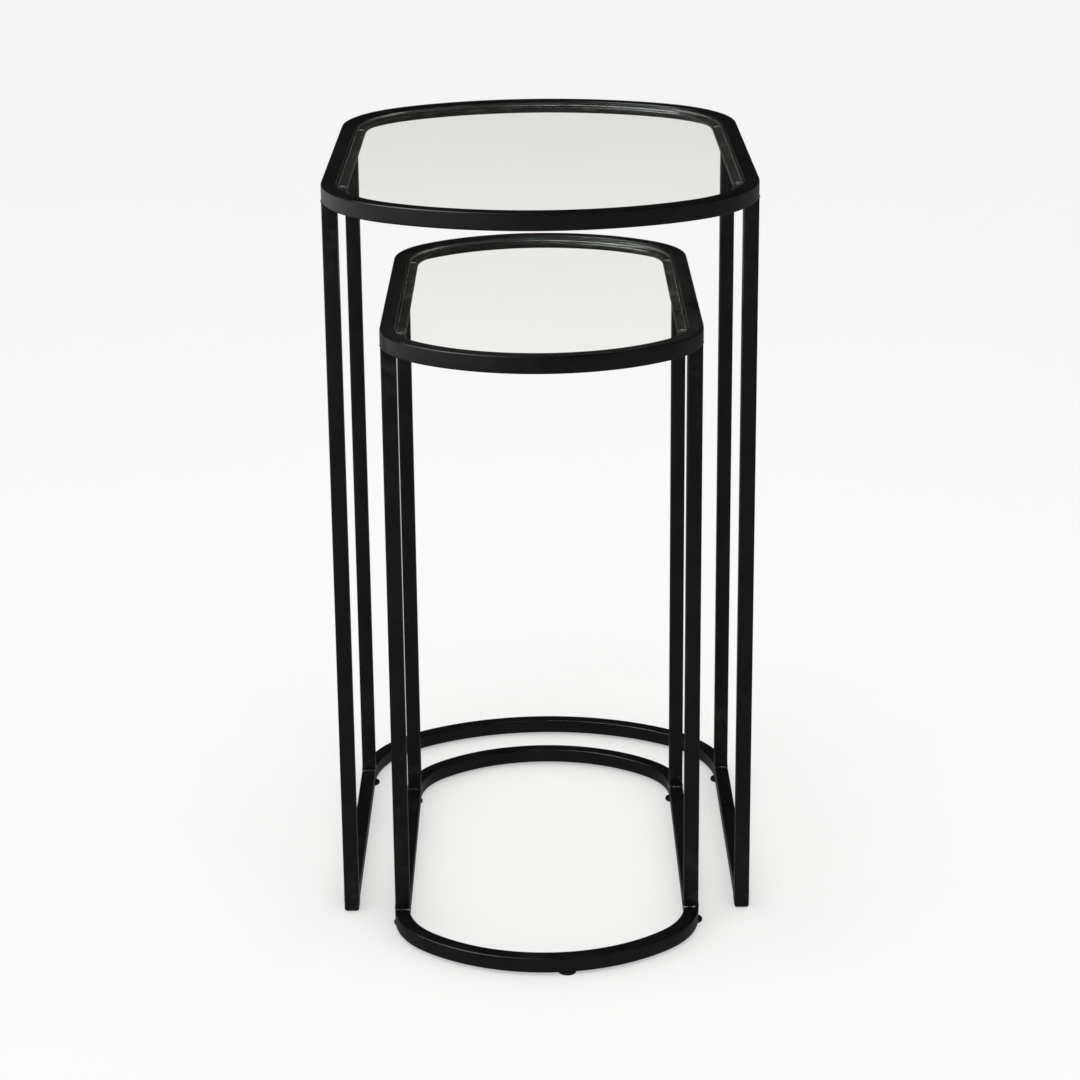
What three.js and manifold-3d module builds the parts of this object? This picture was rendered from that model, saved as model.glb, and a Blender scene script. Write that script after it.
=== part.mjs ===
// A nest of two side tables: square steel tube frames with loose glass tops.
// Millimetres, +Z up. The origin is on the floor, under the middle of the nest.
// The open front of the large table, from which the small one slides out, faces -Y.

import * as THREE from 'three';
import { mergeVertices } from 'three/addons/utils/BufferGeometryUtils.js';
import Module from 'manifold-3d';

const wasm = await Module();
wasm.setup();

// ---------------------------------------------------------------- driving dimensions

// One loop in plan: straight sides, a wide arc at each end, and a rounded corner between.
// shoulder is where an end arc would meet the side line if the corner were not rounded.
const LARGE = {
  height: 610,
  halfWidth: 167.5,
  halfDepth: 250,
  shoulder: 170,
  cornerRadius: 112,
  legFront: -134,
  legBack: 134,
};
const SMALL = {
  height: 503,
  halfWidth: 124,
  halfDepth: 214,
  shoulder: 146,
  cornerRadius: 75,
  legFront: -126,
  legBack: 126,
};

// Steel tube. The top rings are a little taller than the other tubes.
const TUBE = 12;
const RING_HEIGHT = 13.5;
const BASE_HEIGHT = 12.5;
const WALL = 1.2;
const TUBE_EDGE = 1.4;
const LEG_INSET = 0.4;
const VENT_RADIUS = 2.5;

// Glass top and what carries it.
const GLASS_THICKNESS = 5;
const GLASS_RECESS = 1.5;
const GLASS_GAP = 1;
const GLASS_EDGE = 0.6;
const BUMPER_THICKNESS = 1;
const BUMPER_RADIUS = 3.5;
const LEDGE_WIDTH = 8;
const LEDGE_THICKNESS = 2.5;
const TACK_GAP = 0.3;

// Feet. The large table's front legs stand on foot plugs, all else on round glides.
const FOOT_HEIGHT = 2.2;
const GLIDE_RADIUS = 7.2;
const GLIDE_EDGE = 0.7;
const STEM_RADIUS = 2;
const STEM_LENGTH = 8;
const STEM_CLEARANCE = 0.3;
const PLUG_HEAD = 3;
const PLUG_LENGTH = 9;
const PLUG_CORNER = 2.6;

// Some glides sit a little to one side of the tube's middle.
const LARGE_GLIDE_SHIFT = -2.3;
const SMALL_FRONT_SHIFT = 2;
const SMALL_BACK_SHIFT = -2.3;
const FRONT_GLIDE_X = 15.5;

// How far the small table stands forward of the large one's middle.
const SMALL_FORWARD = 34.7;

// Facets.
const CORNER_STEPS = 5;
const ARC_STEPS = 14;
const ROUND_STEPS = 20;
const STEM_STEPS = 12;
const PLUG_STEPS = 4;

// ---------------------------------------------------------------- materials

const powderCoat = new THREE.MeshStandardMaterial({
  color: 0x1d1d1f, roughness: 0.48, metalness: 0.2,
});
const floatGlass = new THREE.MeshStandardMaterial({
  color: 0xdfeae6, roughness: 0.04, metalness: 0, transparent: true, opacity: 0.3,
});
const clearSilicone = new THREE.MeshStandardMaterial({
  color: 0xd9dcd8, roughness: 0.35, metalness: 0, transparent: true, opacity: 0.6,
});
const blackNylon = new THREE.MeshStandardMaterial({
  color: 0x121212, roughness: 0.6, metalness: 0,
});

// ---------------------------------------------------------------- solids

/** Turns a closed geometry into a manifold-3d solid. */
function toSolid(geometry) {
  const bare = geometry.index ? geometry.toNonIndexed() : geometry.clone();
  bare.deleteAttribute('normal');
  bare.deleteAttribute('uv');
  const welded = mergeVertices(bare, 1e-4);
  const mesh = new wasm.Mesh({
    numProp: 3,
    vertProperties: new Float32Array(welded.attributes.position.array),
    triVerts: new Uint32Array(welded.index.array),
  });
  return new wasm.Manifold(mesh);
}

/** Turns a manifold-3d solid back into a geometry. */
function toGeometry(solid) {
  const mesh = solid.getMesh();
  const geometry = new THREE.BufferGeometry();
  geometry.setAttribute('position', new THREE.BufferAttribute(mesh.vertProperties, 3));
  geometry.setIndex(new THREE.BufferAttribute(mesh.triVerts, 1));
  geometry.computeVertexNormals();
  return geometry;
}

/** Cuts each tool away from a body. */
function cut(body, tools) {
  let solid = toSolid(body);
  for (const tool of tools) {
    solid = solid.subtract(toSolid(tool));
  }
  return toGeometry(solid);
}

/** An upright round pin from one height to another. */
function pin(radius, x, y, low, high) {
  const geometry = new THREE.CylinderGeometry(radius, radius, high - low, STEM_STEPS);
  geometry.rotateX(Math.PI / 2);
  geometry.translate(x, y, (low + high) / 2);
  return geometry;
}

/** Extrudes a plan shape between two heights, with its long edges eased by edge. */
function slab(shape, low, high, edge = 0) {
  const geometry = new THREE.ExtrudeGeometry(shape, {
    depth: high - low - 2 * edge,
    bevelEnabled: edge > 0,
    bevelThickness: edge,
    bevelSize: edge,
    bevelOffset: -edge,
    bevelSegments: 1,
  });
  geometry.translate(0, 0, low + edge);
  return geometry;
}

// ---------------------------------------------------------------- plan outlines

/** Centres and radii of the end arcs and corners of a table's loop. */
function loopArcs(table) {
  const rise = table.halfDepth - table.shoulder;
  const endRadius = (table.halfWidth ** 2 + rise ** 2) / (2 * rise);
  const endY = table.halfDepth - endRadius;
  const cornerX = table.halfWidth - table.cornerRadius;
  const reach = endRadius - table.cornerRadius;
  const cornerY = endY + Math.sqrt(reach ** 2 - cornerX ** 2);
  const meet = Math.atan2(cornerY - endY, cornerX);
  return { endRadius, endY, cornerX, cornerY, meet };
}

/** Points of an arc, without its last point. */
function arc(x, y, radius, from, to, steps) {
  const points = [];
  for (let step = 0; step < steps; step += 1) {
    const angle = from + ((to - from) * step) / steps;
    points.push(new THREE.Vector2(x + radius * Math.cos(angle), y + radius * Math.sin(angle)));
  }
  return points;
}

/** The back half of a loop, from the right side round to the left, set in by inset. */
function backHalf(table, inset) {
  const { endRadius, endY, cornerX, cornerY, meet } = loopArcs(table);
  const corner = table.cornerRadius - inset;
  const end = endRadius - inset;
  return [
    ...arc(cornerX, cornerY, corner, 0, meet, CORNER_STEPS),
    ...arc(0, endY, end, meet, Math.PI - meet, ARC_STEPS),
    ...arc(-cornerX, cornerY, corner, Math.PI - meet, Math.PI, CORNER_STEPS),
    new THREE.Vector2(-table.halfWidth + inset, cornerY),
  ];
}

/** The whole loop, set in by inset. */
function loop(table, inset) {
  const back = backHalf(table, inset);
  const front = back.map((point) => new THREE.Vector2(-point.x, -point.y));
  return [...back, ...front];
}

/** A closed band between two insets. */
function bandShape(table, outerInset, innerInset) {
  const shape = new THREE.Shape(loop(table, outerInset));
  shape.holes.push(new THREE.Path(loop(table, innerInset)));
  return shape;
}

/** The band's back half with straight legs forward to frontY: a U open to the front. */
function openBandShape(table, outerInset, innerInset, frontY) {
  const outerX = table.halfWidth - outerInset;
  const innerX = table.halfWidth - innerInset;
  const outer = backHalf(table, outerInset);
  const inner = backHalf(table, innerInset).reverse();
  return new THREE.Shape([
    new THREE.Vector2(outerX, frontY),
    ...outer,
    new THREE.Vector2(-outerX, frontY),
    new THREE.Vector2(-innerX, frontY),
    ...inner,
    new THREE.Vector2(innerX, frontY),
  ]);
}

/** A rectangle with eased corners. */
function easedRectangle(width, height, edge) {
  const x = width / 2;
  const y = height / 2;
  return new THREE.Shape([
    new THREE.Vector2(x, -y + edge),
    new THREE.Vector2(x, y - edge),
    new THREE.Vector2(x - edge, y),
    new THREE.Vector2(-x + edge, y),
    new THREE.Vector2(-x, y - edge),
    new THREE.Vector2(-x, -y + edge),
    new THREE.Vector2(-x + edge, -y),
    new THREE.Vector2(x - edge, -y),
  ]);
}

// ---------------------------------------------------------------- pieces

/** Centres of a table's four legs, each with its name. */
function legPlaces(table) {
  const x = table.halfWidth - LEG_INSET - TUBE / 2;
  const front = table.legFront + TUBE / 2;
  const back = table.legBack - TUBE / 2;
  return [
    { name: 'front_left', x: -x, y: front },
    { name: 'front_right', x, y: front },
    { name: 'back_left', x: -x, y: back },
    { name: 'back_right', x, y: back },
  ];
}

/** A length of square tube standing on its end, open at both ends. */
function legTube(length) {
  const shape = easedRectangle(TUBE, TUBE, TUBE_EDGE);
  const bore = TUBE / 2 - WALL;
  shape.holes.push(new THREE.Path([
    new THREE.Vector2(-bore, -bore),
    new THREE.Vector2(-bore, bore),
    new THREE.Vector2(bore, bore),
    new THREE.Vector2(bore, -bore),
  ]));
  return slab(shape, 0, length);
}

/** The hollow top ring. Each leg's top end is vented into it. */
function topRing(table) {
  const low = table.height - RING_HEIGHT;
  const body = slab(bandShape(table, 0, TUBE), low, table.height, TUBE_EDGE);
  const bore = slab(bandShape(table, WALL, TUBE - WALL), low + WALL, table.height - WALL);
  const vents = legPlaces(table).map(({ x, y }) => pin(VENT_RADIUS, x, y, low - 1, low + 2 * WALL));
  return cut(body, [bore, ...vents]);
}

/** The flat strip inside the ring that carries the glass. */
function glassLedge(table) {
  const high = table.height - GLASS_RECESS - GLASS_THICKNESS - BUMPER_THICKNESS;
  const shape = bandShape(table, TUBE + TACK_GAP, TUBE + LEDGE_WIDTH);
  return slab(shape, high - LEDGE_THICKNESS, high);
}

/** The loose glass pane with ground edges. */
function glassPane(table) {
  const high = table.height - GLASS_RECESS;
  const shape = new THREE.Shape(loop(table, TUBE + GLASS_GAP));
  return slab(shape, high - GLASS_THICKNESS, high, GLASS_EDGE);
}

/** A clear disc between ledge and glass. */
function bumper() {
  const geometry = new THREE.CylinderGeometry(
    BUMPER_RADIUS, BUMPER_RADIUS, BUMPER_THICKNESS, ROUND_STEPS,
  );
  geometry.rotateX(Math.PI / 2);
  geometry.translate(0, 0, BUMPER_THICKNESS / 2);
  return geometry;
}

/** A round glide: a disc under the tube and a stem up into it. */
function glide() {
  const profile = [
    [0, 0],
    [GLIDE_RADIUS - GLIDE_EDGE, 0],
    [GLIDE_RADIUS, GLIDE_EDGE],
    [GLIDE_RADIUS, FOOT_HEIGHT - GLIDE_EDGE],
    [GLIDE_RADIUS - GLIDE_EDGE, FOOT_HEIGHT],
    [STEM_RADIUS, FOOT_HEIGHT],
    [STEM_RADIUS, FOOT_HEIGHT + STEM_LENGTH],
    [0, FOOT_HEIGHT + STEM_LENGTH],
  ].map(([radius, height]) => new THREE.Vector2(radius, height));
  const geometry = new THREE.LatheGeometry(profile, ROUND_STEPS);
  geometry.rotateX(Math.PI / 2);
  return toGeometry(toSolid(geometry));
}

/** Holes for glide stems in the underside of a base tube. */
function stemHoles(places) {
  const radius = STEM_RADIUS + STEM_CLEARANCE;
  return places.map(({ x, y }) => pin(radius, x, y, 0, FOOT_HEIGHT + 2 * WALL));
}

/** The small table's hollow base ring. */
function baseRing(table, places) {
  const high = FOOT_HEIGHT + BASE_HEIGHT;
  const body = slab(bandShape(table, 0, TUBE), FOOT_HEIGHT, high, TUBE_EDGE);
  const bore = slab(bandShape(table, WALL, TUBE - WALL), FOOT_HEIGHT + WALL, high - WALL);
  return cut(body, [bore, ...stemHoles(places)]);
}

/** The large table's hollow base rail, a U welded to the backs of the front legs. */
function baseRail(table, places) {
  const high = FOOT_HEIGHT + BASE_HEIGHT;
  const frontY = table.legFront + TUBE;
  const body = slab(openBandShape(table, 0, TUBE, frontY), FOOT_HEIGHT, high, TUBE_EDGE);
  const boreShape = openBandShape(table, WALL, TUBE - WALL, frontY - 1);
  const bore = slab(boreShape, FOOT_HEIGHT + WALL, high - WALL);
  return cut(body, [bore, ...stemHoles(places)]);
}

/** A foot for a leg's open lower end: a head with round lower edges, and a plug. */
function footPlug() {
  const x = TUBE / 2;
  const outline = new THREE.Shape([
    new THREE.Vector2(x, PLUG_HEAD),
    new THREE.Vector2(-x, PLUG_HEAD),
    ...arc(-x + PLUG_CORNER, PLUG_CORNER, PLUG_CORNER, Math.PI, 1.5 * Math.PI, PLUG_STEPS),
    ...arc(x - PLUG_CORNER, PLUG_CORNER, PLUG_CORNER, 1.5 * Math.PI, 2 * Math.PI, PLUG_STEPS),
    new THREE.Vector2(x, PLUG_CORNER),
  ]);
  const across = slab(outline, -x, x);
  across.rotateX(Math.PI / 2);
  const along = across.clone().rotateZ(Math.PI / 2);
  const upright = slab(easedRectangle(TUBE, TUBE, TUBE_EDGE), 0, PLUG_HEAD);
  const width = TUBE - 2 * WALL - 2 * STEM_CLEARANCE;
  const plug = new THREE.BoxGeometry(width, width, PLUG_LENGTH + PLUG_HEAD / 2);
  plug.translate(0, 0, PLUG_HEAD + (PLUG_LENGTH - PLUG_HEAD / 2) / 2);
  const head = toSolid(across).intersect(toSolid(along)).intersect(toSolid(upright));
  return toGeometry(head.add(toSolid(plug)));
}

// ---------------------------------------------------------------- assembly

/** Adds one named piece to a group. */
function place(group, name, geometry, material, x = 0, y = 0, z = 0) {
  const mesh = new THREE.Mesh(geometry, material);
  mesh.name = name;
  mesh.position.set(x, y, z);
  group.add(mesh);
}

/** The four bumper places, on the straight parts of the ledge near the corners. */
function bumperPlaces(table) {
  const x = table.halfWidth - TUBE - LEDGE_WIDTH / 2;
  const { cornerY } = loopArcs(table);
  return [
    { name: 'front_left', x: -x, y: -cornerY },
    { name: 'front_right', x, y: -cornerY },
    { name: 'back_left', x: -x, y: cornerY },
    { name: 'back_right', x, y: cornerY },
  ];
}

/** Everything the two tables have in common. The front legs start at frontBottom. */
function commonPieces(group, prefix, table, frontBottom) {
  const legTop = table.height - RING_HEIGHT;
  const ledgeTop = table.height - GLASS_RECESS - GLASS_THICKNESS - BUMPER_THICKNESS;
  place(group, `${prefix}_top_ring`, topRing(table), powderCoat);
  place(group, `${prefix}_glass_ledge`, glassLedge(table), powderCoat);
  place(group, `${prefix}_glass_top`, glassPane(table), floatGlass);
  for (const { name, x, y } of legPlaces(table)) {
    const low = y < 0 ? frontBottom : FOOT_HEIGHT + BASE_HEIGHT;
    place(group, `${prefix}_leg_${name}`, legTube(legTop - low), powderCoat, x, y, low);
  }
  for (const { name, x, y } of bumperPlaces(table)) {
    place(group, `${prefix}_bumper_${name}`, bumper(), clearSilicone, x, y, ledgeTop);
  }
}

/** Glides under a base tube, at the given places. */
function addGlides(group, prefix, places) {
  for (const { name, x, y } of places) {
    place(group, `${prefix}_glide_${name}`, glide(), blackNylon, x, y);
  }
}

/** The large table, with a base open to the front. */
function largeTable() {
  const group = new THREE.Group();
  commonPieces(group, 'large', LARGE, PLUG_HEAD);
  const x = LARGE.halfWidth - TUBE / 2 + LARGE_GLIDE_SHIFT;
  const glides = [
    { name: 'back_left', x: -x, y: LARGE.legBack - TUBE / 2 },
    { name: 'back_right', x, y: LARGE.legBack - TUBE / 2 },
  ];
  place(group, 'large_base_rail', baseRail(LARGE, glides), powderCoat);
  addGlides(group, 'large', glides);
  for (const { name, x: legX, y } of legPlaces(LARGE).slice(0, 2)) {
    place(group, `large_foot_plug_${name}`, footPlug(), blackNylon, legX, y);
  }
  return group;
}

/** The small table, with a closed base ring. */
function smallTable() {
  const group = new THREE.Group();
  commonPieces(group, 'small', SMALL, FOOT_HEIGHT + BASE_HEIGHT);
  const x = SMALL.halfWidth - TUBE / 2;
  const { endRadius, endY } = loopArcs(SMALL);
  const tubeRadius = endRadius - TUBE / 2;
  const frontY = -endY - Math.sqrt(tubeRadius ** 2 - FRONT_GLIDE_X ** 2);
  const sideY = SMALL.legBack - TUBE / 2;
  const glides = [
    { name: 'front_left', x: -x, y: -sideY },
    { name: 'front_right', x: x + SMALL_FRONT_SHIFT, y: -sideY },
    { name: 'front_middle', x: FRONT_GLIDE_X, y: frontY },
    { name: 'back_left', x: -x, y: sideY },
    { name: 'back_right', x: x + SMALL_BACK_SHIFT, y: sideY },
  ];
  place(group, 'small_base_ring', baseRing(SMALL, glides), powderCoat);
  addGlides(group, 'small', glides);
  group.position.y = -SMALL_FORWARD;
  return group;
}

const nest = new THREE.Group();
nest.name = 'nesting_tables';
nest.add(largeTable(), smallTable());

export default nest;
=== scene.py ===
"""A nest of two side tables: black square-tube frames with loose glass tops.

Metres, +Z up. The origin is on the floor under the middle of the nest, and the small
table slides out towards -Y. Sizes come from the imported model's nodes.
"""

import logging
import math
from dataclasses import dataclass
from enum import Enum
from typing import Any, Callable, Iterable, Sequence

import bmesh
import bpy
from mathutils import Matrix, Vector


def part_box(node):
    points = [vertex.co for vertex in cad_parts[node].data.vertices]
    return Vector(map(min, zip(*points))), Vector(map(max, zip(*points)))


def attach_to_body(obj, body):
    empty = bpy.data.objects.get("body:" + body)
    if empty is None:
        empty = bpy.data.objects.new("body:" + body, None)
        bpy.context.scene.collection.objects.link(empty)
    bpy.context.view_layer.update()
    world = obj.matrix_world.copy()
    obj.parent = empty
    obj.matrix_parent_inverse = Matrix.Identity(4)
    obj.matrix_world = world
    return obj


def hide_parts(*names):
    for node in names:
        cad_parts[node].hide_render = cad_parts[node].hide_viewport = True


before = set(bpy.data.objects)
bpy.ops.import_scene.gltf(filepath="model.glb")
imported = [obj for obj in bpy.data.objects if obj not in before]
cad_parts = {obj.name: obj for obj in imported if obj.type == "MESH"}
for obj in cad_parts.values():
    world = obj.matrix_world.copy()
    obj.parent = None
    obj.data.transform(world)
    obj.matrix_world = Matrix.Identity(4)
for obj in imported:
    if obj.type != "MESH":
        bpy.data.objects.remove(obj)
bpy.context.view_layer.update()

LOG = logging.getLogger("nesting_tables")

MM = 0.001
Point = tuple[float, float]
Row = list[Vector]
Colour = tuple[float, float, float]
Place = tuple[float, float, float]

CORNERS = ("front_left", "front_right", "back_left", "back_right")

# Ranges of a noise pattern's values that the finishes stretch, narrow and wide.
NOISE_CORE: Point = (0.35, 0.65)
NOISE_SPAN: Point = (0.3, 0.7)

# Weld beads: the shares of their radius that ripples add and that is fixed, and their sides.
RIPPLE_SHARE = 0.25
BEAD_CORE = 0.3
BEAD_SIDES = 8

# Smallest and largest scale of a spatter ball.
SPATTER_SIZES: Point = (0.35, 1.0)

# Steps round each rounded corner of a weld's outline.
CORNER_STEPS = 4

# A bumper's rows from its foot up, as shares of its radius and height.
PAD_ROWS = ((1.0, 0.0), (0.995, 0.25), (0.96, 0.55), (0.88, 0.82), (0.74, 0.96), (0.55, 1.0))

# A glide's rim, in mm in from the disc's edge and up from the tread.
RIM_ROWS = ((0.45, 0.0), (0.15, 0.12), (0.0, 0.45))

# A glide's side and top, in mm in from the disc's edge and down from its top.
DISC_ROWS = (
    (0.0, 0.55), (0.1, 0.25), (0.35, 0.05), (0.6, 0.0),
    (1.3, 0.0), (1.6, 0.35), (2.4, 0.4), (2.9, 0.05),
)


class Slot(Enum):
    """Finishes of the record that a piece can take."""

    COAT = "powder_coat"
    GLASS = "glass"
    BUMPER = "clear_bumper"
    NYLON = "black_nylon"


class Body(Enum):
    """Bodies of the record that a piece can ride on."""

    LARGE_FRAME = "large_frame"
    LARGE_GLASS = "large_glass"
    SMALL_FRAME = "small_frame"
    SMALL_GLASS = "small_glass"


# ---------------------------------------------------------------- node tree helpers


@dataclass
class Graph:
    """A node tree with short calls to add and join nodes."""

    tree: bpy.types.NodeTree

    def add(self, kind: str, inputs: dict[Any, Any] | None = None, **settings: Any) -> Any:
        """Adds one node.

        Args:
            kind: The node's type name.
            inputs: Values or output sockets for its inputs, by name or index.
            settings: Properties of the node, set before its inputs.

        Returns:
            The new node.
        """
        node = self.tree.nodes.new(kind)
        for name, value in settings.items():
            setattr(node, name, value)
        for name, value in (inputs or {}).items():
            socket = node.inputs[name]
            if isinstance(value, bpy.types.NodeSocket):
                self.tree.links.new(value, socket)
            else:
                socket.default_value = value
        return node

    def place(self) -> Any:
        """Adds object coordinates and returns their socket."""
        return self.add("ShaderNodeTexCoord").outputs["Object"]

    def math(self, operation: str, *values: Any) -> Any:
        """Adds a Math node and returns its result socket."""
        kind = "ShaderNodeMath"
        return self.add(kind, dict(enumerate(values)), operation=operation).outputs[0]

    def remap(self, value: Any, low: float, high: float, to: Point = (0.0, 1.0)) -> Any:
        """Stretches a value from low..high to a new range, clamped.

        Args:
            value: The socket to stretch.
            low: Value that becomes the start of the new range.
            high: Value that becomes its end.
            to: The new range.

        Returns:
            The stretched value's socket.
        """
        values = {0: value, 1: low, 2: high, 3: to[0], 4: to[1]}
        return self.add("ShaderNodeMapRange", values).outputs[0]

    def noise(self, place: Any, scale: float, detail: float = 2.0, rough: float = 0.5) -> Any:
        """Adds a noise pattern over a place vector and returns its value socket."""
        values = {"Vector": place, "Scale": scale, "Detail": detail, "Roughness": rough}
        return self.add("ShaderNodeTexNoise", values).outputs[0]


def shader_group(
    name: str,
    inputs: dict[str, float],
    outputs: Sequence[str],
    fill: Callable[[Graph, Any], dict[str, Any]],
) -> bpy.types.NodeTree:
    """Builds a shader node group of number sockets.

    Args:
        name: The group's name.
        inputs: Input names with their starting values.
        outputs: Output names.
        fill: Adds the nodes and says which socket feeds each output.

    Returns:
        The group.
    """
    tree = bpy.data.node_groups.new(name, "ShaderNodeTree")
    for label, value in inputs.items():
        socket = tree.interface.new_socket(
            name=label, in_out="INPUT", socket_type="NodeSocketFloat"
        )
        socket.default_value = value
    for label in outputs:
        tree.interface.new_socket(
            name=label, in_out="OUTPUT", socket_type="NodeSocketFloat"
        )
    graph = Graph(tree)
    source = graph.add("NodeGroupInput")
    results = fill(graph, source.outputs)
    graph.add("NodeGroupOutput", results)
    return tree


# ---------------------------------------------------------------- shared surface effects


def fill_peel(graph: Graph, given: Any) -> dict[str, Any]:
    """Fills the group for the fine orange-peel skin of baked powder.

    Args:
        graph: The group's graph.
        given: The group's input sockets.

    Returns:
        The sockets for Height and Cloud.
    """
    place = graph.place()
    peel = graph.noise(place, scale=900.0)
    grit = graph.noise(place, scale=3200.0, detail=1.0)
    cloud = graph.noise(place, scale=28.0, detail=4.0, rough=0.6)
    tall = graph.math("MULTIPLY", peel, given["Peel"])
    fine = graph.math("MULTIPLY", grit, given["Grit"])
    return {"Height": graph.math("ADD", tall, fine), "Cloud": cloud}


def fill_specks(graph: Graph, given: Any) -> dict[str, Any]:
    """Fills the group for scattered dust specks and nibs.

    Args:
        graph: The group's graph.
        given: The group's input sockets.

    Returns:
        The socket for the speck mask.
    """
    values = {"Vector": graph.place(), "Scale": given["Scale"]}
    cells = graph.add("ShaderNodeTexVoronoi", values)
    colour = graph.add("ShaderNodeSeparateColor", {0: cells.outputs["Color"]})
    radius = graph.math("MULTIPLY", colour.outputs[0], given["Size"])
    inside = graph.math("LESS_THAN", cells.outputs["Distance"], radius)
    kept = graph.math("LESS_THAN", colour.outputs[1], given["Share"])
    return {"Mask": graph.math("MULTIPLY", inside, kept)}


def fill_wear(graph: Graph, given: Any) -> dict[str, Any]:
    """Fills the group for rubbed edges, which on the ledge's coat are a painted highlight.

    Args:
        graph: The group's graph.
        given: The group's input sockets.

    Returns:
        The socket for the edge mask, 1 on rubbed edges and on the ledge's painted highlight.
    """
    place = graph.place()
    pointed = graph.add("ShaderNodeNewGeometry").outputs["Pointiness"]
    edge = graph.remap(pointed, low=0.5, high=0.56)
    spread = graph.noise(place, scale=60.0, detail=5.0, rough=0.7)
    patches = graph.remap(spread, low=0.52, high=0.7)
    mask = graph.math("MULTIPLY", edge, patches)
    return {"Mask": graph.math("MULTIPLY", mask, given["Amount"])}


@dataclass
class Effects:
    """The node groups that more than one finish uses."""

    peel: bpy.types.NodeTree
    specks: bpy.types.NodeTree
    wear: bpy.types.NodeTree

    @classmethod
    def build(cls) -> "Effects":
        """Builds every group once."""
        return cls(
            peel=shader_group(
                "powder_peel", {"Peel": 1.0, "Grit": 0.3}, ("Height", "Cloud"), fill_peel
            ),
            specks=shader_group(
                "dust_specks",
                {"Scale": 300.0, "Size": 0.1, "Share": 0.2},
                ("Mask",),
                fill_specks,
            ),
            wear=shader_group("edge_wear", {"Amount": 0.3}, ("Mask",), fill_wear),
        )


# ---------------------------------------------------------------- finishes


def new_material(name: str) -> tuple[bpy.types.Material, Graph, Any]:
    """Makes an empty node material.

    Args:
        name: The material's name.

    Returns:
        The material, its graph and its output node.
    """
    material = bpy.data.materials.new(name)
    material.use_nodes = True
    material.node_tree.nodes.clear()
    graph = Graph(material.node_tree)
    return material, graph, graph.add("ShaderNodeOutputMaterial")


def use_group(graph: Graph, group: bpy.types.NodeTree, **values: float) -> Any:
    """Places a shared effect in a material and returns its outputs."""
    node = graph.add("ShaderNodeGroup", node_tree=group)
    for name, value in values.items():
        node.inputs[name].default_value = value
    return node.outputs


def mix_colour(graph: Graph, mask: Any, first: Sequence[float], second: Any) -> Any:
    """Mixes two colours by a mask and returns the colour socket."""
    node = graph.add("ShaderNodeMix", data_type="RGBA")
    graph.tree.links.new(mask, node.inputs[0])
    for socket, value in ((node.inputs[6], first), (node.inputs[7], second)):
        if isinstance(value, bpy.types.NodeSocket):
            graph.tree.links.new(value, socket)
        else:
            socket.default_value = (*value, 1.0)
    return node.outputs[2]


def bumped(
    graph: Graph, looks: dict[str, Any], peel: Any, strength: float, depth: float
) -> Any:
    """Adds a Principled shader with the fine relief of a peel group.

    Args:
        graph: The material's graph.
        looks: The shader's inputs, apart from its normal.
        peel: Outputs of the peel group.
        strength: How strongly the relief shows.
        depth: Depth of the relief in metres.

    Returns:
        The surface socket.
    """
    values = {"Height": peel["Height"], "Strength": strength, "Distance": depth}
    bump = graph.add("ShaderNodeBump", values)
    shader = graph.add("ShaderNodeBsdfPrincipled", {**looks, "Normal": bump.outputs[0]})
    return shader.outputs[0]


def layered(graph: Graph, surface: Any, layers: Iterable[tuple[Any, Any]]) -> Any:
    """Lays shaders over a surface in turn.

    Args:
        graph: The graph.
        surface: Socket of the lowest surface.
        layers: For each layer, the socket of its share and its shader node.

    Returns:
        The mixed surface's socket.
    """
    for share, shader in layers:
        values = {0: share, 1: surface, 2: shader.outputs[0]}
        surface = graph.add("ShaderNodeMixShader", values).outputs[0]
    return surface


class Finish:
    """A finish of the record, built as a node material."""

    name: str

    def surface(self, graph: Graph, effects: Effects) -> Any:
        """Adds the finish's nodes.

        Args:
            graph: The material's graph.
            effects: The shared node groups.

        Returns:
            The surface socket.
        """
        raise NotImplementedError

    def build(self, effects: Effects) -> bpy.types.Material:
        """Builds the material.

        Args:
            effects: The shared node groups.

        Returns:
            The material.
        """
        material, graph, output = new_material(self.name)
        surface = self.surface(graph, effects)
        graph.tree.links.new(surface, output.inputs["Surface"])
        return material


@dataclass(frozen=True)
class PowderCoat(Finish):
    """Satin black powder coat, a little rubbed on its edges, with dust on it. On the ledge, the
    pale rubbed edges are a painted highlight.
    """

    name: str = "satin_black_coat"
    tone: Colour = (0.0013, 0.0013, 0.0015)
    cloud_tone: Colour = (0.0036, 0.0031, 0.0027)
    # Colour of rubbed edges; on the ledge it is a painted highlight, a pale line where light
    # catches the edge.
    rubbed_and_highlit: Colour = (0.10, 0.088, 0.075)
    dust: Colour = (0.30, 0.29, 0.27)
    roughness: Point = (0.26, 0.40)
    specular: float = 0.5
    # Strength of the edge mark: wear on the frame's coat, a painted highlight on the ledge's coat.
    wear: float = 0.15
    dust_share: float = 0.03
    bump: float = 0.10
    relief: float = 0.0002

    def surface(self, graph: Graph, effects: Effects) -> Any:
        """Adds the coat, its rubbed edges (a painted highlight on the ledge) and its dust."""
        peel = use_group(graph, effects.peel, Peel=1.0, Grit=0.3)
        specks = use_group(graph, effects.specks, Scale=260.0, Size=0.09, Share=self.dust_share)
        wear = use_group(graph, effects.wear, Amount=self.wear)
        cloud = graph.remap(peel["Cloud"], *NOISE_CORE)
        base = mix_colour(graph, cloud, self.tone, self.cloud_tone)
        # Edge mark: wear on the frame, painted highlight along the ledge's edge.
        worn_and_highlit = mix_colour(graph, wear["Mask"], base, self.rubbed_and_highlit)
        dusty = mix_colour(graph, specks["Mask"], worn_and_highlit, self.dust)
        rough = graph.remap(peel["Cloud"], *NOISE_SPAN, self.roughness)
        looks = {"Base Color": dusty, "Roughness": rough, "Specular IOR Level": self.specular}
        return bumped(graph, looks, peel, self.bump, self.relief)


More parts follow.
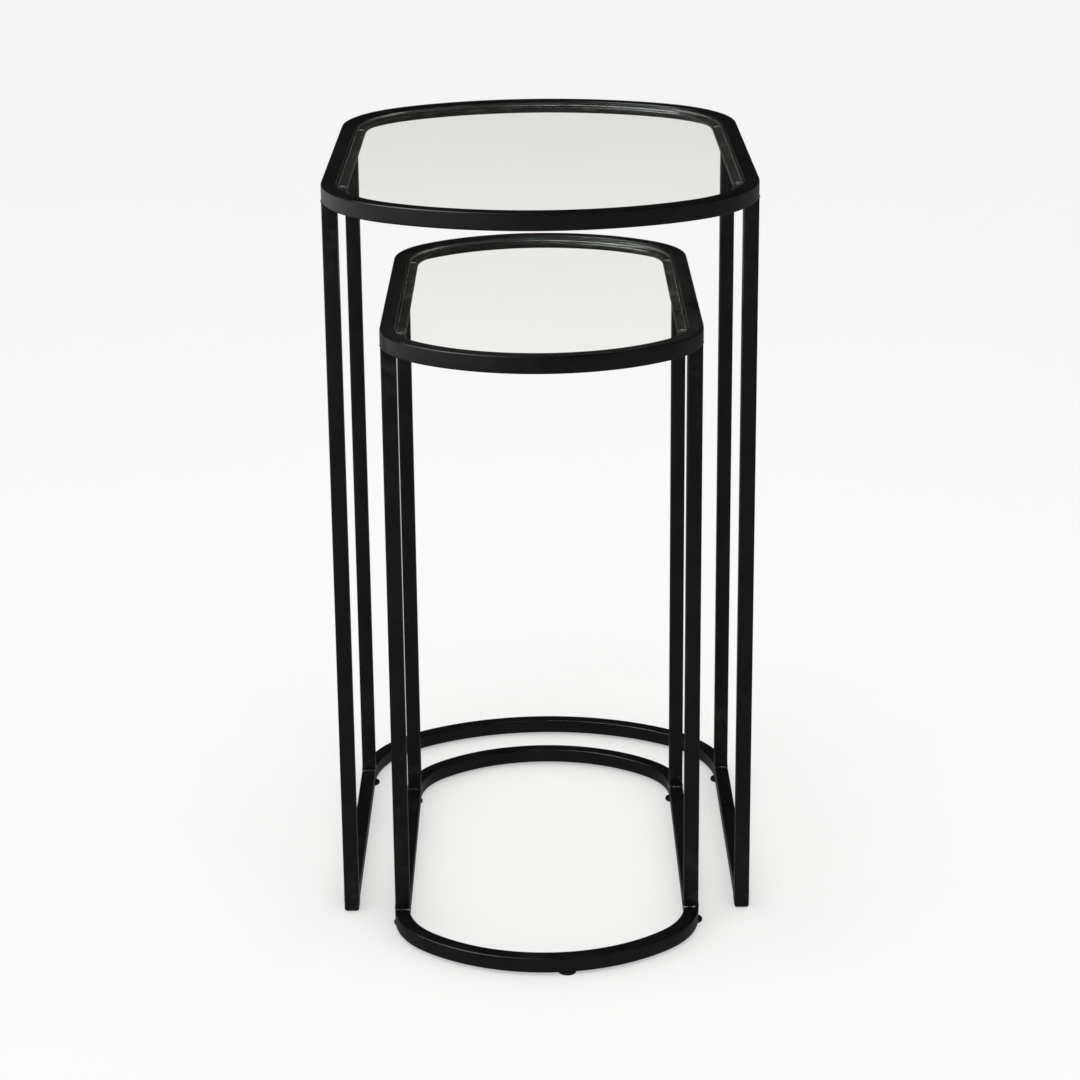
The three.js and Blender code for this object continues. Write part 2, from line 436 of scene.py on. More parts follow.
@dataclass(frozen=True)
class WeldCoat(Finish):
    """Thin coat over a rough weld, with bare warm metal showing on its ripples, which also stands
    in as a painted highlight on the bead.
    """

    name: str = "weld_coat"
    coat: Colour = (0.012, 0.011, 0.010)
    # Pale warm patches: bare metal, and a painted highlight where light would catch the bead.
    bare_and_highlit: Colour = (0.40, 0.35, 0.28)
    roughness: Point = (0.42, 0.62)
    bump: float = 0.5
    relief: float = 0.0003

    def surface(self, graph: Graph, effects: Effects) -> Any:
        """Adds the coat and its pale patches, part bare metal and part painted highlight."""
        place = graph.place()
        peel = use_group(graph, effects.peel, Peel=1.0, Grit=1.0)
        spread = graph.noise(place, scale=300.0, detail=4.0, rough=0.7)
        bare_and_highlit = graph.remap(spread, low=0.49, high=0.62)
        colour = mix_colour(graph, bare_and_highlit, self.coat, self.bare_and_highlit)
        rough = graph.remap(bare_and_highlit, 0.0, 1.0, self.roughness)
        looks = {"Base Color": colour, "Roughness": rough}
        return bumped(graph, looks, peel, self.bump, self.relief)


@dataclass(frozen=True)
class FloatGlass(Finish):
    """Clear float glass with faint smears and motes, which lets soft light through."""

    name: str = "float_glass"
    tint: Colour = (0.988, 0.998, 0.962)
    smeared: Colour = (0.972, 0.982, 0.944)
    mote: Colour = (0.80, 0.80, 0.78)
    ior: float = 1.045
    transmission: float = 1.0
    mote_roughness: float = 0.25
    smear_scale: float = 14.0

    def surface(self, graph: Graph, effects: Effects) -> Any:
        """Adds the glass, which is plain and clear to shadow and diffuse rays."""
        smears = graph.noise(graph.place(), scale=self.smear_scale, detail=4.0, rough=0.65)
        smear = graph.remap(smears, low=0.5, high=0.75)
        specks = use_group(graph, effects.specks, Scale=90.0, Size=0.035, Share=0.12)
        colour = mix_colour(graph, smear, self.tint, self.smeared)
        colour = mix_colour(graph, specks["Mask"], colour, self.mote)
        rough = graph.math("MULTIPLY", specks["Mask"], self.mote_roughness)
        looks = {
            "Base Color": colour,
            "Roughness": rough,
            "IOR": self.ior,
            "Transmission Weight": self.transmission,
        }
        shader = graph.add("ShaderNodeBsdfPrincipled", looks)
        clear = graph.add("ShaderNodeBsdfTransparent", {0: (*self.tint, 1.0)})
        path = graph.add("ShaderNodeLightPath").outputs
        layers = ((path["Is Diffuse Ray"], clear), (path["Is Shadow Ray"], clear))
        return layered(graph, shader.outputs[0], layers)


@dataclass(frozen=True)
class GroundEdge(Finish):
    """The ground teal edge of float glass."""

    name: str = "ground_glass_edge"
    light: Colour = (0.19, 0.25, 0.21)
    deep: Colour = (0.035, 0.06, 0.05)
    roughness: Point = (0.10, 0.26)
    ior: float = 1.5
    transmission: float = 0.88
    bump: float = 0.2
    relief: float = 0.0001

    def surface(self, graph: Graph, effects: Effects) -> Any:
        """Adds the ground surface, deeper and lighter in patches."""
        place = graph.place()
        spread = graph.noise(place, scale=22.0, detail=3.0, rough=0.6)
        patches = graph.remap(spread, *NOISE_CORE)
        colour = mix_colour(graph, patches, self.deep, self.light)
        grind = graph.noise(place, scale=1800.0, rough=0.6)
        looks = {
            "Base Color": colour,
            "Roughness": graph.remap(grind, *NOISE_SPAN, self.roughness),
            "IOR": self.ior,
            "Transmission Weight": self.transmission,
        }
        peel = use_group(graph, effects.peel, Peel=0.6, Grit=1.0)
        return bumped(graph, looks, peel, self.bump, self.relief)


@dataclass(frozen=True)
class ClearSilicone(Finish):
    """Soft clear bumper, slightly milky."""

    name: str = "clear_silicone"
    milk: Colour = (0.83, 0.85, 0.84)
    clouded: Colour = (0.68, 0.70, 0.68)
    roughness: Point = (0.12, 0.30)
    ior: float = 1.25
    transmission: float = 0.93
    bump: float = 0.1
    relief: float = 0.0001

    def surface(self, graph: Graph, effects: Effects) -> Any:
        """Adds the silicone and its clouds."""
        spread = graph.noise(graph.place(), scale=500.0, detail=3.0)
        cloud = graph.remap(spread, *NOISE_CORE)
        looks = {
            "Base Color": mix_colour(graph, cloud, self.milk, self.clouded),
            "Roughness": graph.remap(cloud, 0.0, 1.0, self.roughness),
            "IOR": self.ior,
            "Transmission Weight": self.transmission,
        }
        peel = use_group(graph, effects.peel, Peel=0.4, Grit=0.2)
        return bumped(graph, looks, peel, self.bump, self.relief)


@dataclass(frozen=True)
class Nylon(Finish):
    """Moulded black nylon with a fine spark-eroded grain and a scuffed tread."""

    name: str = "moulded_nylon"
    tone: Colour = (0.0045, 0.0045, 0.0045)
    scuff: Colour = (0.05, 0.047, 0.043)
    roughness: Point = (0.38, 0.55)
    tread_height: float = 0.0009
    tread_scuff: float = 0.5
    bump: float = 0.25
    relief: float = 0.0002

    def surface(self, graph: Graph, effects: Effects) -> Any:
        """Adds the nylon, scuffed on its edges and its tread."""
        place = graph.place()
        wear = use_group(graph, effects.wear, Amount=0.6)
        peel = use_group(graph, effects.peel, Peel=0.3, Grit=1.0)
        height = graph.add("ShaderNodeSeparateXYZ", {0: place}).outputs["Z"]
        tread = graph.remap(height, self.tread_height, 0.0, (0.0, self.tread_scuff))
        scuffed = graph.math("MAXIMUM", wear["Mask"], tread)
        spread = graph.noise(place, scale=260.0, detail=4.0, rough=0.7)
        scuffed = graph.math("MULTIPLY", scuffed, spread)
        looks = {
            "Base Color": mix_colour(graph, scuffed, self.tone, self.scuff),
            "Roughness": graph.remap(peel["Cloud"], *NOISE_SPAN, self.roughness),
        }
        return bumped(graph, looks, peel, self.bump, self.relief)


@dataclass(frozen=True)
class StudioFloor:
    """Pale matt paper under the nest."""

    name: str = "studio_floor"
    pale: Colour = (0.56, 0.56, 0.557)
    warm: Colour = (0.55, 0.55, 0.545)
    glow: float = 0.40
    dim: Point = (0.15, 0.75)
    dim_from: float = -0.6
    dim_to: float = -2.6
    roughness: float = 0.9
    specular: float = 0.1

    def build(self) -> bpy.types.Material:
        """Builds the material, which glows a little, and more to the left in soft gloss."""
        material, graph, output = new_material(self.name)
        place = graph.place()
        cloud = graph.noise(place, scale=3.0, detail=3.0)
        looks = {
            "Base Color": mix_colour(graph, cloud, self.pale, self.warm),
            "Roughness": self.roughness,
            "Specular IOR Level": self.specular,
            "Emission Color": (1.0, 1.0, 0.995, 1.0),
            "Emission Strength": self.glow,
        }
        paper = graph.add("ShaderNodeBsdfPrincipled", looks)
        across = graph.add("ShaderNodeSeparateXYZ", {0: place}).outputs["X"]
        lit = graph.remap(across, self.dim_from, self.dim_to, self.dim)
        dark = graph.add("ShaderNodeEmission", {0: (0.98, 0.98, 1.0, 1.0), 1: lit})
        path = graph.add("ShaderNodeLightPath").outputs
        layers = ((path["Is Glossy Ray"], dark), (path["Is Singular Ray"], paper))
        surface = layered(graph, paper.outputs[0], layers)
        graph.tree.links.new(surface, output.inputs["Surface"])
        return material


@dataclass(frozen=True)
class Finishes:
    """Every finish of the nest, built once."""

    coat: bpy.types.Material
    ledge: bpy.types.Material
    weld: bpy.types.Material
    glass: bpy.types.Material
    edge: bpy.types.Material
    silicone: bpy.types.Material
    nylon: bpy.types.Material

    @classmethod
    def build(cls) -> "Finishes":
        """Builds the shared effects and then each finish."""
        effects = Effects.build()
        return cls(
            coat=PowderCoat().build(effects),
            # The ledge's coat: its pale, strong edge mark is a painted highlight along the ledge's
            # inner edge, where light catches it.
            ledge=PowderCoat(
                name="dusty_ledge_coat_painted_highlight", rubbed_and_highlit=(0.30, 0.27, 0.22), wear=0.9, dust_share=0.15
            ).build(effects),
            weld=WeldCoat().build(effects),
            glass=FloatGlass().build(effects),
            edge=GroundEdge().build(effects),
            silicone=ClearSilicone().build(effects),
            nylon=Nylon().build(effects),
        )


# ---------------------------------------------------------------- geometry node trees


def geometry_tree(
    name: str,
    inputs: dict[str, tuple[str, Any]],
    fill: Callable[[Graph, Any], Any],
) -> bpy.types.NodeTree:
    """Builds a smooth Geometry Nodes tree that ends in Realize Instances and Set Material.

    Args:
        name: The tree's name.
        inputs: Input names with their socket type and starting value.
        fill: Adds the nodes and returns the geometry socket.

    Returns:
        The tree.
    """
    tree = bpy.data.node_groups.new(name, "GeometryNodeTree")
    new_socket = tree.interface.new_socket
    new_socket(name="Geometry", in_out="INPUT", socket_type="NodeSocketGeometry")
    for label, (kind, value) in inputs.items():
        socket = new_socket(name=label, in_out="INPUT", socket_type=kind)
        if value is not None:
            socket.default_value = value
    new_socket(name="Material", in_out="INPUT", socket_type="NodeSocketMaterial")
    new_socket(name="Geometry", in_out="OUTPUT", socket_type="NodeSocketGeometry")
    graph = Graph(tree)
    given = graph.add("NodeGroupInput").outputs
    smooth = graph.add("GeometryNodeSetShadeSmooth", {"Geometry": fill(graph, given)})
    real = graph.add("GeometryNodeRealizeInstances", {0: smooth.outputs[0]})
    dressed = graph.add(
        "GeometryNodeSetMaterial",
        {"Geometry": real.outputs[0], "Material": given["Material"]},
    )
    graph.add("NodeGroupOutput", {0: dressed.outputs[0]})
    return tree


def fill_tube(graph: Graph, given: Any) -> Any:
    """Fills the tree that draws a bar of eased rectangular section along a path.

    Args:
        graph: The tree's graph.
        given: The tree's input sockets.

    Returns:
        The bar's geometry socket.
    """
    path = graph.add("GeometryNodeMeshToCurve", {"Mesh": given["Geometry"]})
    upright = graph.add(
        "GeometryNodeSetCurveNormal", {"Curve": path.outputs[0]}, mode="Z_UP"
    )
    outline = graph.add(
        "GeometryNodeCurvePrimitiveQuadrilateral",
        {"Width": given["Width"], "Height": given["Height"]},
        mode="RECTANGLE",
    )
    eased = graph.add(
        "GeometryNodeFilletCurve",
        {
            "Curve": outline.outputs[0],
            "Radius": given["Edge Radius"],
            "Count": given["Edge Facets"],
        },
        mode="POLY",
    )
    bar = graph.add(
        "GeometryNodeCurveToMesh",
        {
            "Curve": upright.outputs[0],
            "Profile Curve": eased.outputs[0],
            "Fill Caps": given["Closed Ends"],
        },
    )
    return bar.outputs[0]


def fill_bead(graph: Graph, given: Any) -> Any:
    """Fills the tree that lays a rippled weld bead along a path.

    Args:
        graph: The tree's graph.
        given: The tree's input sockets.

    Returns:
        The bead's geometry socket.
    """
    path = graph.add("GeometryNodeMeshToCurve", {"Mesh": given["Geometry"]})
    steps = graph.add(
        "GeometryNodeResampleCurve",
        {"Curve": path.outputs[0], "Length": given["Step"]},
        mode="LENGTH",
    )
    along = graph.add("GeometryNodeSplineParameter").outputs["Length"]
    turns = graph.math("DIVIDE", along, given["Ripple Pitch"])
    wave = graph.math("ABSOLUTE", graph.math("SINE", graph.math("MULTIPLY", turns, math.pi)))
    place = graph.add("GeometryNodeInputPosition").outputs[0]
    wander = graph.noise(place, scale=500.0)
    swell = graph.math("ADD", graph.math("MULTIPLY", wave, RIPPLE_SHARE), wander)
    swell = graph.math("ADD", swell, BEAD_CORE)
    radius = graph.math("MULTIPLY", swell, given["Bead Radius"])
    sized = graph.add(
        "GeometryNodeSetCurveRadius", {"Curve": steps.outputs[0], "Radius": radius}
    )
    values = {"Resolution": BEAD_SIDES, "Radius": 1.0}
    outline = graph.add("GeometryNodeCurvePrimitiveCircle", values)
    bead = graph.add(
        "GeometryNodeCurveToMesh",
        {
            "Curve": sized.outputs[0],
            "Profile Curve": outline.outputs[0],
            "Fill Caps": True,
        },
    )
    if "Scale" in bead.inputs:
        graph.tree.links.new(radius, bead.inputs["Scale"])
    return bead.outputs[0]


def fill_spatter(graph: Graph, given: Any) -> Any:
    """Fills the tree that scatters small weld spatter over patches of surface.

    Args:
        graph: The tree's graph.
        given: The tree's input sockets.

    Returns:
        The spatter's geometry socket.
    """
    spots = graph.add(
        "GeometryNodeDistributePointsOnFaces",
        {"Mesh": given["Geometry"], "Density": given["Density"], "Seed": given["Seed"]},
    )
    ball = graph.add("GeometryNodeMeshIcoSphere", {"Radius": given["Ball Radius"]})
    ball.inputs["Subdivisions"].default_value = 2
    size = graph.add("FunctionNodeRandomValue", data_type="FLOAT")
    size.inputs[2].default_value, size.inputs[3].default_value = SPATTER_SIZES
    graph.tree.links.new(given["Seed"], size.inputs["Seed"])
    balls = graph.add(
        "GeometryNodeInstanceOnPoints",
        {
            "Points": spots.outputs["Points"],
            "Instance": ball.outputs["Mesh"],
            "Scale": size.outputs[1],
        },
    )
    return balls.outputs[0]


@dataclass
class Trees:
    """The Geometry Nodes trees of the nest."""

    tube: bpy.types.NodeTree
    bead: bpy.types.NodeTree
    spatter: bpy.types.NodeTree

    @classmethod
    def build(cls) -> "Trees":
        """Builds every tree once."""
        number, whole, switch = "NodeSocketFloat", "NodeSocketInt", "NodeSocketBool"
        tube_inputs = {
            "Width": (number, 0.012),
            "Height": (number, 0.012),
            "Edge Radius": (number, 0.0014),
            "Edge Facets": (whole, 8),
            "Closed Ends": (switch, True),
        }
        bead_inputs = {
            "Step": (number, 0.0003),
            "Bead Radius": (number, 0.0007),
            "Ripple Pitch": (number, 0.0011),
        }
        spatter_inputs = {
            "Density": (number, 100000.0),
            "Ball Radius": (number, 0.0003),
            "Seed": (whole, 1),
        }
        return cls(
            tube=geometry_tree("section_along_path", tube_inputs, fill_tube),
            bead=geometry_tree("rippled_weld_bead", bead_inputs, fill_bead),
            spatter=geometry_tree("weld_spatter", spatter_inputs, fill_spatter),
        )


# ---------------------------------------------------------------- mesh helpers


def new_object(name: str, mesh: bpy.types.Mesh) -> bpy.types.Object:
    """Puts a mesh in the scene as an object at the origin."""
    piece = bpy.data.objects.new(name, mesh)
    bpy.context.scene.collection.objects.link(piece)
    return piece


def path_mesh(name: str, paths: Iterable[Row], closed: bool) -> bpy.types.Mesh:
    """Makes a mesh of edges from paths, all closed or all open."""
    corners: list[Vector] = []
    edges: list[tuple[int, int]] = []
    for points in paths:
        start = len(corners)
        corners.extend(points)
        edges.extend((start + i, start + i + 1) for i in range(len(points) - 1))
        if closed:
            edges.append((len(corners) - 1, start))
    mesh = bpy.data.meshes.new(name)
    mesh.from_pydata(corners, edges, [])
    return mesh


def outward(mesh: bpy.types.Mesh) -> None:
    """Merges a closed mesh's doubles and turns its faces outwards."""
    work = bmesh.new()
    work.from_mesh(mesh)
    bmesh.ops.remove_doubles(work, verts=work.verts, dist=1e-7)
    bmesh.ops.recalc_face_normals(work, faces=work.faces)
    work.to_mesh(mesh)
    work.free()


def grow(
    name: str, source: bpy.types.Mesh, tree: bpy.types.NodeTree, values: dict[str, Any]
) -> bpy.types.Object:
    """Runs a Geometry Nodes tree on a mesh and keeps the result as a plain piece.

    Args:
        name: The piece's name.
        source: Path or patch mesh that the tree starts from.
        tree: The tree to run.
        values: Values of the tree's inputs by their names.

    Returns:
        The finished piece.
    """
    piece = new_object(name, source)
    modifier = piece.modifiers.new(tree.name, "NODES")
    modifier.node_group = tree
    for item in tree.interface.items_tree:
        if item.item_type == "SOCKET" and item.in_out == "INPUT" and item.name in values:
            modifier[item.identifier] = values[item.name]
    piece.update_tag()
    graph = bpy.context.evaluated_depsgraph_get()
    graph.update()
    evaluated = piece.evaluated_get(graph)
    mesh = bpy.data.meshes.new_from_object(
        evaluated, preserve_all_data_layers=True, depsgraph=graph
    )
    piece.modifiers.clear()
    mesh.name = name
    piece.data = mesh
    outward(mesh)
    return piece


def loft(
    name: str, rows: Sequence[Row], materials: Sequence[bpy.types.Material]
) -> bpy.types.Object:
    """Makes a piece by joining closed rows of points, with a flat face at each end.

    Args:
        name: The piece's name.
        rows: Rows of equally many points, from one end to the other.
        materials: Its materials. The last one is for the faces between the rows.

    Returns:
        The piece.
    """
    work = bmesh.new()
    rings = [[work.verts.new(point) for point in row] for row in rows]
    count = len(rings[0])
    for low, high in zip(rings, rings[1:]):
        for i in range(count):
            j = (i + 1) % count
            face = work.faces.new((low[i], low[j], high[j], high[i]))
            face.material_index = len(materials) - 1
            face.smooth = True
    for ring in (rings[0], rings[-1]):
        work.faces.new(ring)
    bmesh.ops.recalc_face_normals(work, faces=work.faces)
    mesh = bpy.data.meshes.new(name)
    work.to_mesh(mesh)
    work.free()
    for material in materials:
        mesh.materials.append(material)
    return new_object(name, mesh)


def foot_centre(low: Vector, high: Vector) -> Vector:
    """The middle of the underside of a box."""
    return Vector(((low.x + high.x) / 2, (low.y + high.y) / 2, low.z))


def corner_arc(x: float, y: float, radius: float, quarter: int, steps: int, z: float) -> Row:
    """Points round a quarter circle in plan, at a height.

    Args:
        x: Its centre's x.
        y: Its centre's y.
        radius: Its radius.
        quarter: Which quarter, counted from +X towards +Y.
        steps: Steps from its start to its end.
        z: Height of the points.

    Returns:
        The points.
    """
    angles = [(quarter + i / steps) * math.pi / 2 for i in range(steps + 1)]
    return [Vector((x + radius * math.cos(a), y + radius * math.sin(a), z)) for a in angles]


def lathe_rows(profile: Sequence[Point], centre: Vector, steps: int) -> list[Row]:
    """Turns a profile of radius and height about an upright axis into rows."""
    angles = [2 * math.pi * i / steps for i in range(steps)]
    return [
        [centre + Vector((r * math.cos(a), r * math.sin(a), z)) for a in angles]
        for r, z in profile
    ]


def attach(piece: bpy.types.Object, body: Body, slot: Slot, *nodes: str) -> bpy.types.Object:
    """Makes a piece ride a body and stand for nodes, and reports it.

    Args:
        piece: The finished piece.
        body: The body that carries it.
        slot: The slot that its finish comes from. Not used.
        nodes: CAD nodes that it stands for.

    Returns:
        The piece.
    """
    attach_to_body(piece, body.value)
    if nodes:
        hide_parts(*nodes)
    LOG.info("made %s: %d faces, for %s", piece.name, len(piece.data.polygons), nodes or "-")
    return piece


# ---------------------------------------------------------------- plan of a table


@dataclass(frozen=True)
class LoopPlan:
    """A table's loop in plan: straight sides, a wide arc at each end, round corners.

    The shoulder is where an end arc would meet the side if the corner were not round.
    """

    centre: Vector
    half_width: float
    half_depth: float
    shoulder: float
    corner_radius: float
    step: float = 0.005
    side_stride: int = 4
    run_steps: int = 12

    @classmethod
    def from_ring(cls, node: str, shoulder: float, corner_radius: float) -> "LoopPlan":
        """Reads the plan's centre and outer size from a ring's node.

        Args:
            node: Name of the ring's node.
            shoulder: Half length of the sides before the corners are rounded.
            corner_radius: Outer radius of the corners.

        Returns:
            The plan.
        """
        low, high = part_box(node)
        half = (high - low) / 2
        return cls((low + high) / 2, half.x, half.y, shoulder, corner_radius)

    def arc(self, centre: Point, radius: float, start: float, end: float) -> list[Point]:
        """Points along an arc, close enough together to look round."""
        count = max(3, round(abs(end - start) * radius / self.step))
        angles = [start + (end - start) * i / count for i in range(count)]
        x, y = centre
        return [(x + radius * math.cos(a), y + radius * math.sin(a)) for a in angles]

    def side_end(self) -> float:
        """Distance from the middle at which a straight side ends."""
        return self.arcs()[3]

    def arcs(self) -> tuple[float, float, float, float, float]:
        """End radius, end centre y, corner centre x and y, and the angle where they meet."""
        rise = self.half_depth - self.shoulder
        end_radius = (self.half_width**2 + rise**2) / (2 * rise)
        end_y = self.half_depth - end_radius
        corner_x = self.half_width - self.corner_radius
        reach = end_radius - self.corner_radius
        corner_y = end_y + math.sqrt(reach**2 - corner_x**2)
        meet = math.atan2(corner_y - end_y, corner_x)
        return end_radius, end_y, corner_x, corner_y, meet

    def back_half(self, inset: float) -> list[Point]:
        """The back half of the loop, from the right side round to the left."""
        end_radius, end_y, corner_x, corner_y, meet = self.arcs()
        corner, end = self.corner_radius - inset, end_radius - inset
        points = self.arc((corner_x, corner_y), corner, 0.0, meet)
        points += self.arc((0.0, end_y), end, meet, math.pi - meet)
        points += self.arc((-corner_x, corner_y), corner, math.pi - meet, math.pi)
        points.append((-self.half_width + inset, corner_y))
        return points

    def loop(self, inset: float, height: float) -> Row:
        """The whole loop at a height, set in by inset."""
        back = self.back_half(inset)
        side = self.side_points(inset)
        flat = back + side + [(-x, -y) for x, y in back] + [(-x, -y) for x, y in side]
        return [Vector((self.centre.x + x, self.centre.y + y, height)) for x, y in flat]

    def side_points(self, inset: float) -> list[Point]:
        """Points between the ends of the left side, from back to front."""
        end = self.side_end()
        count = max(2, round(2 * end / (self.side_stride * self.step)))
        x = -self.half_width + inset
        return [(x, end - 2 * end * i / count) for i in range(1, count)]

    def open_loop(self, inset: float, front: float, height: float) -> Row:
        """The back half with its sides carried forward to front."""
        back = self.back_half(inset)
        end, x, count = self.side_end(), self.half_width - inset, self.run_steps
        rise = [(x, front + (end - front) * i / count) for i in range(count)]
        fall = [(-x, y) for _, y in reversed(rise)]
        flat = rise + back + fall
        return [Vector((self.centre.x + px, py, height)) for px, py in flat]


# ---------------------------------------------------------------- sub-assemblies


@dataclass(frozen=True)
class Section:
    """The section of a bar: its size, and the radius of its long edges."""

    width: float
    height: float
    edge: float


@dataclass
class Frame:
    """A table's welded frame: top ring, glass ledge, four legs, base and welds."""

    trees: Trees
    finishes: Finishes
    prefix: str
    body: Body
    plan: LoopPlan
    base_node: str
    open_front: bool
    seed: int
    edge_radius: float = 1.4 * MM
    ring_width: float = 12 * MM
    ledge_inset: float = 12.3 * MM
    ledge_width: float = 7.7 * MM
    ledge_edge: float = 0.3 * MM
    leg_steps: int = 8
    bead_radius: float = 0.6 * MM
    bead_sink: float = 0.15 * MM
    spatter_height: float = 11 * MM
    spatter_density: float = 45000.0

    def node(self, part: str) -> str:
        """The name of one of this table's nodes."""
        return f"{self.prefix}_{part}"

    def bar(
        self, name: str, node: str, path: Row, section: Section,
        material: bpy.types.Material, looped: bool,
    ) -> None:
        """Draws a bar of eased section along a path and dresses it.

        Args:
            name: The piece's name.
            node: The CAD node that it stands for.
            path: Points of the path.
            section: The bar's section.
            material: The bar's material.
            looped: Whether the path is a closed loop. A bar that isn't has closed ends.
        """
        values = {
            "Width": section.width,
            "Height": section.height,
            "Edge Radius": section.edge,
            "Closed Ends": not looped,
            "Material": material,
        }
        piece = grow(name, path_mesh(node, [path], looped), self.trees.tube, values)
        attach(piece, self.body, Slot.COAT, node)

    def build(self) -> None:
        """Builds and dresses every piece of the frame."""
        self.build_ring()
        self.build_ledge()
        self.build_base()
        self.build_legs()
        self.build_welds()

    def build_ring(self) -> None:
        """Builds the top ring."""
        node = self.node("top_ring")
        low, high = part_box(node)
        path = self.plan.loop(self.ring_width / 2, (low.z + high.z) / 2)
        section = Section(self.ring_width, high.z - low.z, self.edge_radius)
        self.bar(f"{self.prefix}_ring_tube", node, path, section, self.finishes.coat, True)

    def build_ledge(self) -> None:
        """Builds the flat strip that carries the glass."""
        node = self.node("glass_ledge")
        low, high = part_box(node)
        path = self.plan.loop(self.ledge_inset + self.ledge_width / 2, (low.z + high.z) / 2)
        section = Section(self.ledge_width, high.z - low.z, self.ledge_edge)
        self.bar(f"{self.prefix}_ledge_strip", node, path, section, self.finishes.ledge, True)

    def build_base(self) -> None:
        """Builds the base tube, a ring or a U open to the front."""
        low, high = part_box(self.base_node)
        height, inset = (low.z + high.z) / 2, self.ring_width / 2
        if self.open_front:
            path = self.plan.open_loop(inset, low.y, height)
        else:
            path = self.plan.loop(inset, height)
        section = Section(self.ring_width, high.z - low.z, self.edge_radius)
        name, looped = f"{self.prefix}_base_tube", not self.open_front
        self.bar(name, self.base_node, path, section, self.finishes.coat, looped)

    def leg_nodes(self) -> list[str]:
        """Names of the four legs' nodes."""
        return [self.node(f"leg_{corner}") for corner in CORNERS]

    def build_legs(self) -> None:
        """Builds the four legs."""
        count = self.leg_steps
        for node in self.leg_nodes():
            low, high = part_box(node)
            middle = (low + high) / 2
            path = [
                Vector((middle.x, middle.y, low.z + (high.z - low.z) * i / count))
                for i in range(count + 1)
            ]
            section = Section(high.x - low.x, high.y - low.y, self.edge_radius)
            self.bar(f"{node}_tube", node, path, section, self.finishes.coat, False)

    def build_welds(self) -> None:
        """Builds the weld beads round both ends of each leg, and their spatter."""
        paths: list[Row] = []
        patches = bmesh.new()
        base_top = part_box(self.base_node)[1].z
        for node in self.leg_nodes():
            low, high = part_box(node)
            paths.append(joint_loop(low, high, self.edge_radius, high.z - self.bead_sink))
            if low.z >= base_top - MM:
                paths.append(joint_loop(low, high, self.edge_radius, low.z + self.bead_sink))
                add_collar(patches, low, high, (low.z, low.z + self.spatter_height))
            else:
                paths.append(self.rail_joint(low, high))
        mesh = path_mesh(self.node("weld_paths"), paths, True)
        values = {"Bead Radius": self.bead_radius, "Material": self.finishes.weld}
        beads = grow(f"{self.prefix}_weld_beads", mesh, self.trees.bead, values)
        attach(beads, self.body, Slot.COAT)
        mesh = bpy.data.meshes.new(self.node("spatter_patches"))
        patches.to_mesh(mesh)
        patches.free()
        values = {
            "Density": self.spatter_density, "Seed": self.seed, "Material": self.finishes.weld
        }
        spatter = grow(f"{self.prefix}_weld_spatter", mesh, self.trees.spatter, values)
        attach(spatter, self.body, Slot.COAT)

    def rail_joint(self, low: Vector, high: Vector) -> Row:
        """The outline of the base tube's end where it meets the back of a leg."""
        base_low, base_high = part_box(self.base_node)
        right = low.x > 0
        start = base_high.x - self.ring_width if right else base_low.x
        corner = Vector((start, base_low.z, 0))
        far = Vector((start + self.ring_width, base_high.z, 0))
        outline = joint_loop(corner, far, self.edge_radius, 0)
        return [Vector((p.x, high.y + self.bead_sink, p.y)) for p in outline]


def joint_loop(low: Vector, high: Vector, edge: float, height: float) -> Row:
    """The outline of a square tube with round edges, at a height.

    Args:
        low: Lowest corner of the tube's box.
        high: Highest corner of the tube's box.
        edge: Radius of the tube's edges.
        height: Height of the outline.

    Returns:
        The outline's points.
    """
    points: Row = []
    corners = ((high.x, high.y), (low.x, high.y), (low.x, low.y), (high.x, low.y))
    middle = (low + high) / 2
    for quarter, (x, y) in enumerate(corners):
        cx = x + math.copysign(edge, middle.x - x)
        cy = y + math.copysign(edge, middle.y - y)
        points += corner_arc(cx, cy, edge, quarter, CORNER_STEPS, height)
    return points


def add_collar(work: bmesh.types.BMesh, low: Vector, high: Vector, span: Point) -> None:
    """Adds the four side faces of a square tube between two heights to a mesh."""
    plan = ((high.x, high.y), (low.x, high.y), (low.x, low.y), (high.x, low.y))
    lower, upper = [[work.verts.new((x, y, z)) for x, y in plan] for z in span]
    for i in range(4):
        j = (i + 1) % 4
        work.faces.new((lower[i], lower[j], upper[j], upper[i]))


@dataclass
class GlassTop:
    """A table's loose glass pane with ground edges."""

    prefix: str
    body: Body
    plan: LoopPlan
    inset: float = 13 * MM
    arris: float = 0.6 * MM
    arris_share: float = 0.35

    def profile(self, low: float, high: float) -> list[Point]:
        """Inset and height of each row round the pane's edge, from top to bottom."""
        soft = self.arris * self.arris_share
        upper = [(self.arris, 0.0), (soft, soft), (0.0, self.arris)]
        rows = [(self.inset + inset, high - drop) for inset, drop in upper]
        rows += [(self.inset + inset, low + drop) for inset, drop in reversed(upper)]
        return rows

    def build(self, finishes: Finishes) -> None:
        """Builds and dresses the pane."""
        node = f"{self.prefix}_glass_top"
        low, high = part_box(node)
        rows = [self.plan.loop(inset, z) for inset, z in self.profile(low.z, high.z)]
        piece = loft(f"{self.prefix}_glass_pane", rows, (finishes.glass, finishes.edge))
        attach(piece, self.body, Slot.GLASS, node)


@dataclass
class Bumpers:
    """The clear pads between a ledge and its glass."""

    prefix: str
    body: Body
    steps: int = 36

    def build(self, finishes: Finishes) -> None:
        """Builds and dresses the four pads."""
        for corner in CORNERS:
            node = f"{self.prefix}_bumper_{corner}"
            low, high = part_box(node)
            radius, tall = (high.x - low.x) / 2, high.z - low.z
            profile = [(radius * across, tall * up) for across, up in PAD_ROWS]
            rows = lathe_rows(profile, foot_centre(low, high), self.steps)
            piece = loft(f"{node}_pad", rows, (finishes.silicone,))
            attach(piece, self.body, Slot.BUMPER, node)


